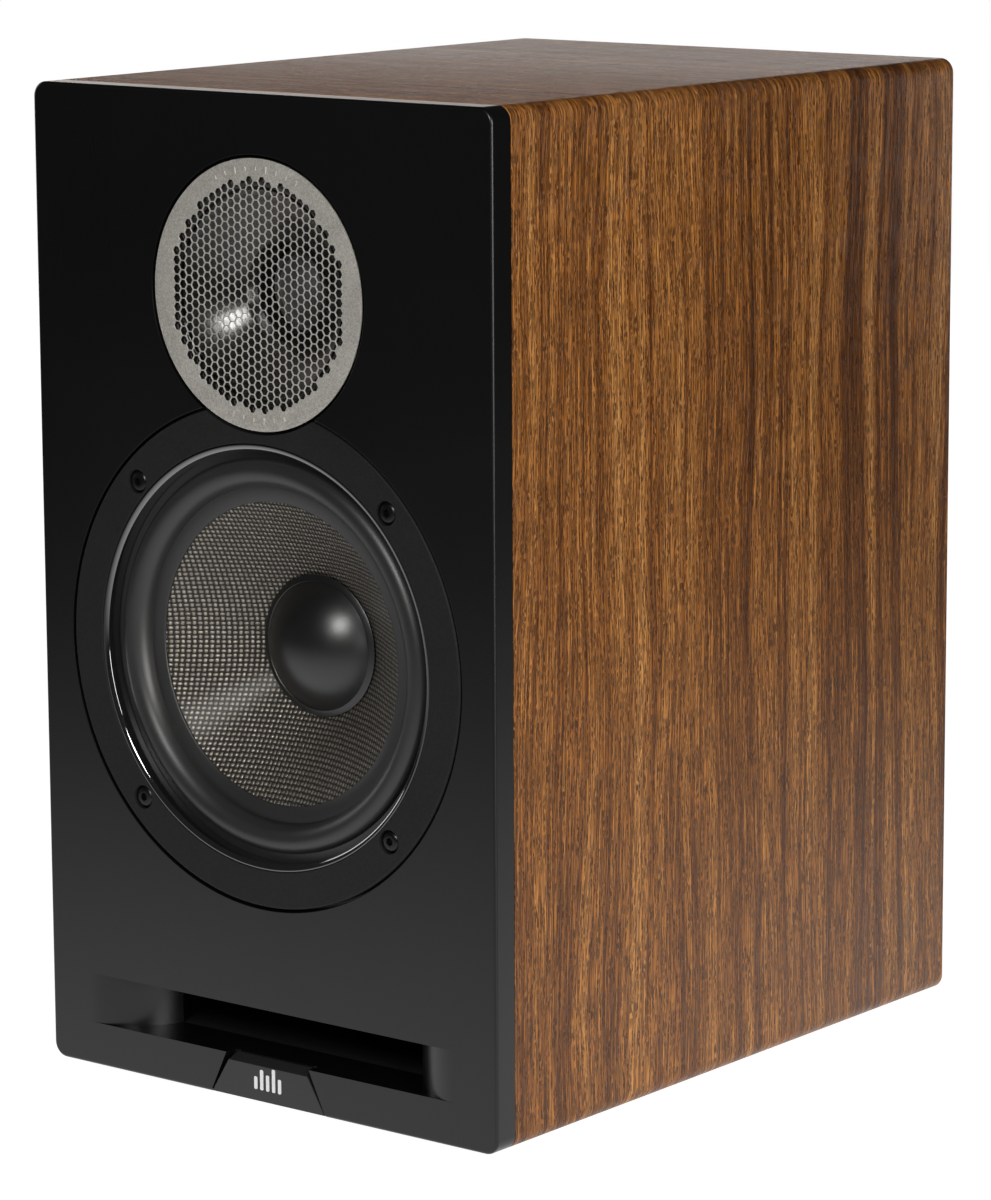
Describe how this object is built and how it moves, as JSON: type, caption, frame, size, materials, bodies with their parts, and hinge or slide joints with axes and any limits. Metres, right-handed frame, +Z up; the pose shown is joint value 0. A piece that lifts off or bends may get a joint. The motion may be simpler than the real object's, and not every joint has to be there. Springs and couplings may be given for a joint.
{
  "type": "bookshelf speaker",
  "caption": "Two-way bookshelf loudspeaker: walnut-wrapped cabinet, black baffle, woven-cone woofer, waveguide tweeter behind a perforated disc, front slot port, rear binding posts.",
  "frame": {"origin": "bottom centre of the bounding box, on the surface the feet stand on", "axes": "+Z up; the front baffle faces -Y; +X is to the right when looking at the front"},
  "size_m": [0.209, 0.277, 0.361],
  "materials": {
    "satin_black": "satin lacquer",
    "walnut": "satin walnut-grain vinyl",
    "fibreboard": "bare fibreboard",
    "cast_frame": "satin black paint",
    "gloss_ring": "polished black",
    "black_screw": "black oxide",
    "rubber": "satin rubber",
    "woven_cone": "woven fibre with resin",
    "spider_cloth": "resin-stiffened cloth",
    "foam": "open foam",
    "steel": "zinc plated",
    "ferrite": "sintered ferrite",
    "copper": "enamelled copper wire",
    "kapton": "polyimide film",
    "grille": "satin metallic",
    "dome_cloth": "coated cloth",
    "moulded_black": "moulded",
    "gold": "gold plated",
    "red_plastic": "moulded red",
    "board": "circuit board",
    "capacitor_wrap": "film wrap",
    "resistor_ceramic": "ceramic"
  },
  "bodies": {
    "cabinet": {"front_baffle": "satin_black", "rear_panel": "satin_black", "badge_plate": "satin_black", "walnut_wrap": "walnut", "left_panel": "fibreboard", "right_panel": "fibreboard", "top_panel": "fibreboard", "bottom_panel": "fibreboard", "port_shelf": "fibreboard", "window_brace": "fibreboard", "woofer_basket": "cast_frame", "woofer_trim_ring": "gloss_ring", "woofer_screw_1": "black_screw", "woofer_screw_2": "black_screw", "woofer_screw_3": "black_screw", "woofer_screw_4": "black_screw", "tweeter_screw_1": "black_screw", "tweeter_screw_2": "black_screw", "tweeter_screw_3": "black_screw", "terminal_screw_1": "black_screw", "terminal_screw_2": "black_screw", "terminal_screw_3": "black_screw", "terminal_screw_4": "black_screw", "woofer_surround": "rubber", "foot_pad_1": "rubber", "foot_pad_2": "rubber", "foot_pad_3": "rubber", "foot_pad_4": "rubber", "woofer_spider": "spider_cloth", "woofer_gasket": "foam", "damping_foam": "foam", "woofer_top_plate": "steel", "woofer_yoke": "steel", "tweeter_top_plate": "steel", "tweeter_yoke": "steel", "woofer_magnet": "ferrite", "tweeter_magnet": "ferrite", "woofer_inductor": "copper", "tweeter_inductor": "copper", "tweeter_grille": "grille", "tweeter_suspension": "dome_cloth", "tweeter_waveguide": "moulded_black", "tweeter_rear_chamber": "moulded_black", "woofer_terminal": "moulded_black", "terminal_cup": "moulded_black", "red_post_stud": "gold", "black_post_stud": "gold", "crossover_board": "board", "series_capacitor": "capacitor_wrap", "tweeter_resistor": "resistor_ceramic"},
    "woofer_moving": {"woofer_cone": "woven_cone", "woofer_dust_cap": "moulded_black", "woofer_coil_former": "kapton", "woofer_voice_coil": "copper"},
    "tweeter_moving": {"tweeter_dome": "dome_cloth", "tweeter_voice_coil": "copper"},
    "red_clamp": {"red_clamp_washer": "gold"},
    "red_knob": {"red_post_knob": "red_plastic"},
    "black_clamp": {"black_clamp_washer": "gold"},
    "black_knob": {"black_post_knob": "moulded_black"}
  },
  "joints": [
    {"name": "woofer_excursion", "type": "slide", "parent": "cabinet", "child": "woofer_moving", "axis": [0, 1, 0], "range_m": [-0.006, 0.006], "stiffness_N_per_m": 1000, "deforming": ["woofer_surround", "woofer_spider"]},
    {"name": "tweeter_excursion", "type": "slide", "parent": "cabinet", "child": "tweeter_moving", "axis": [0, 1, 0], "range_m": [-0.0005, 0.0005], "stiffness_N_per_m": 1000, "deforming": ["tweeter_suspension"]},
    {"name": "red_clamp_lift", "type": "slide", "parent": "cabinet", "child": "red_clamp", "axis": [0, 1, 0], "range_m": [0, 0.004]},
    {"name": "red_knob_turn", "type": "hinge", "parent": "red_clamp", "child": "red_knob", "pos_m": [0.0095, 0.1265, 0.105], "axis": [0, 1, 0], "range_deg": [0, 1800]},
    {"name": "black_clamp_lift", "type": "slide", "parent": "cabinet", "child": "black_clamp", "axis": [0, 1, 0], "range_m": [0, 0.004]},
    {"name": "black_knob_turn", "type": "hinge", "parent": "black_clamp", "child": "black_knob", "pos_m": [-0.0095, 0.1265, 0.105], "axis": [0, 1, 0], "range_deg": [0, 1800]}
  ],
  "couplings": [
    {"joint": "red_knob_turn", "follows": "red_clamp_lift", "rad_per_m": 7853},
    {"joint": "black_knob_turn", "follows": "black_clamp_lift", "rad_per_m": 7853}
  ]
}
